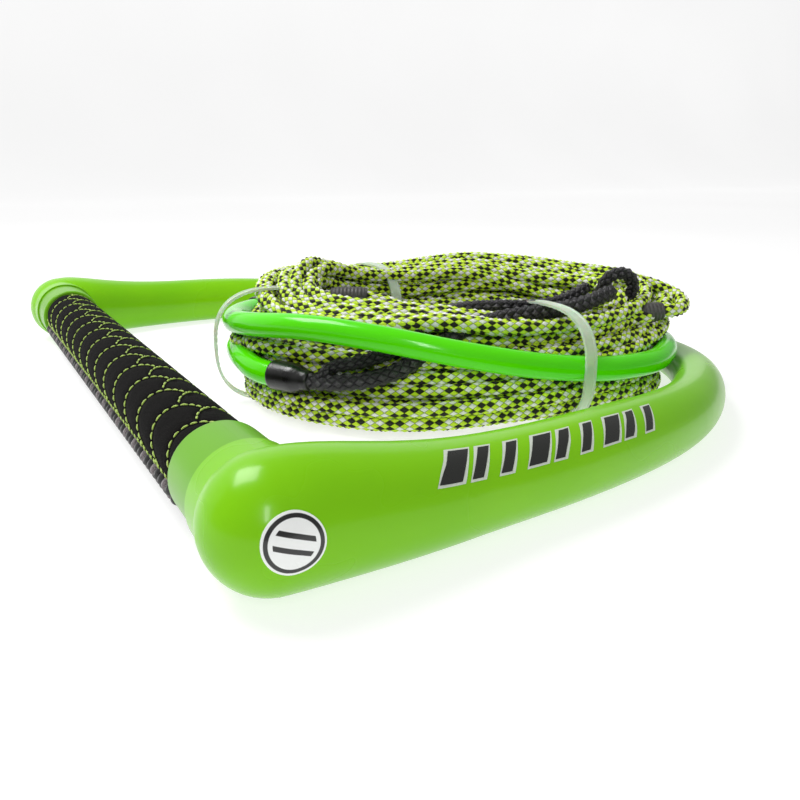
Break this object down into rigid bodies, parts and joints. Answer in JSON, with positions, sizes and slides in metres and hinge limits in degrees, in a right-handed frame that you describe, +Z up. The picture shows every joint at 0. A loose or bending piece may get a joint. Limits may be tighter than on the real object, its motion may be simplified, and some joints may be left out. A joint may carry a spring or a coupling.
{
  "type": "tow rope handle",
  "caption": "Tow rope handle: stitched grip bar between two glossy float arms that curve round a tied coil of braided tow rope.",
  "frame": {"origin": "middle of the handle's base on the floor it lies on: the middle of the bounding box of the bar and the float arms, at floor height", "axes": "+Y along the bar from the near float (with the badge) to the far one, +X from the bar towards the coil, +Z up from the floor"},
  "size_m": [0.2926, 0.3873, 0.0593],
  "materials": {
    "float_green": "glossy moulded float skin",
    "tube_green": "glossy soft PVC",
    "line_white": "braided line",
    "aluminium": "drawn tube",
    "sleeve_rubber": "matte",
    "grip_black": "stitched fabric",
    "seam_lacing": "glossy braid",
    "badge": "printed sticker",
    "shrink_black": "heat-shrink tube",
    "lead_black": "hollow braid",
    "rope": "solid braid, lime, black and white",
    "cover_grey": "fine-ribbed shrink sleeve",
    "tie_clear": "natural nylon"
  },
  "bodies": {
    "bridle": {"bridle_line": "line_white", "bridle_tube_near": "tube_green", "float_arm_near": "float_green", "bridle_tube_far": "tube_green", "float_arm_far": "float_green", "badge": "badge", "lead_line": "lead_black", "lead_tail": "lead_black", "far_leg": "lead_black", "boat_loop": "rope", "lead_loop": "lead_black", "heat_shrink_near": "shrink_black", "heat_shrink_far": "shrink_black", "splice_cover_left": "cover_grey", "splice_cover_back": "cover_grey", "splice_cover_right": "cover_grey", "splice_cover_boat": "cover_grey", "tie_strap_right": "tie_clear", "tie_head_right": "tie_clear", "tie_strap_back": "tie_clear", "tie_head_back": "tie_clear", "tie_strap_left": "tie_clear", "tie_head_left": "tie_clear", "mainline_coil": "rope"},
    "bar": {"bar_tube": "aluminium", "grip_sleeve": "sleeve_rubber", "grip_cover": "grip_black", "grip_seam": "seam_lacing", "end_cap_near": "float_green", "end_cap_far": "float_green"}
  },
  "joints": [
    {"name": "bar_spin", "type": "hinge", "parent": "bridle", "child": "bar", "pos_m": [-0.1281, -0.0026, 0.0182], "axis": [0, 1, 0], "continuous": true}
  ]
}
